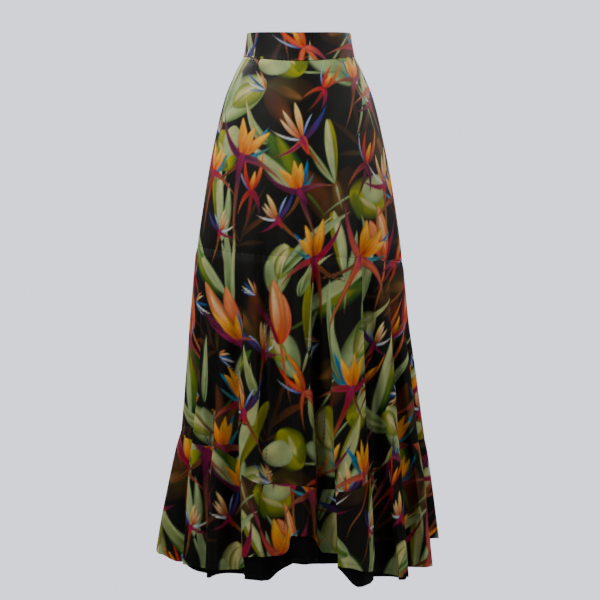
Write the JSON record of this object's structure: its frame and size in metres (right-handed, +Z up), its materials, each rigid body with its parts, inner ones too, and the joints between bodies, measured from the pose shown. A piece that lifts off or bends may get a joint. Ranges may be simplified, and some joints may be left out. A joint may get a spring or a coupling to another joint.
{
  "type": "maxi skirt",
  "caption": "Long high-waisted skirt in printed cloth, filled out as worn, with a plain waistband, tiers, a fluted flounce over a longer black one, and a zip at the back.",
  "frame": {"origin": "on the body's axis at the height of the waist seam at the sides, where the wearer's waist holds the skirt", "axes": "+Z up out of the waistband, -Y out of the centre front, +X towards the wearer's left side"},
  "size_m": [0.569, 0.4948, 1.0974],
  "materials": {
    "printed_cloth": "soft matte woven viscose, near-black ground with a tropical flower and leaf print in orange, crimson, blue and green",
    "black_cloth": "matte plain black woven cloth",
    "zip_metal": "semi-gloss black lacquered metal"
  },
  "bodies": {
    "skirt": {"waistband_front": "printed_cloth", "waistband_back_left": "printed_cloth", "waistband_back_right": "printed_cloth", "upper_tier_front": "printed_cloth", "upper_tier_back_left": "printed_cloth", "upper_tier_back_right": "printed_cloth", "middle_tier_front": "printed_cloth", "middle_tier_back": "printed_cloth", "flounce_front": "printed_cloth", "flounce_back": "printed_cloth", "under_flounce_front": "black_cloth", "under_flounce_back": "black_cloth", "zip_slider": "zip_metal"},
    "pull": {"zip_tab": "zip_metal"}
  },
  "joints": [
    {"name": "tab_swing", "type": "hinge", "parent": "skirt", "child": "pull", "pos_m": [0, 0.0963, 0.03693], "axis": [1, 0, 0], "range_deg": [0, 150]}
  ]
}
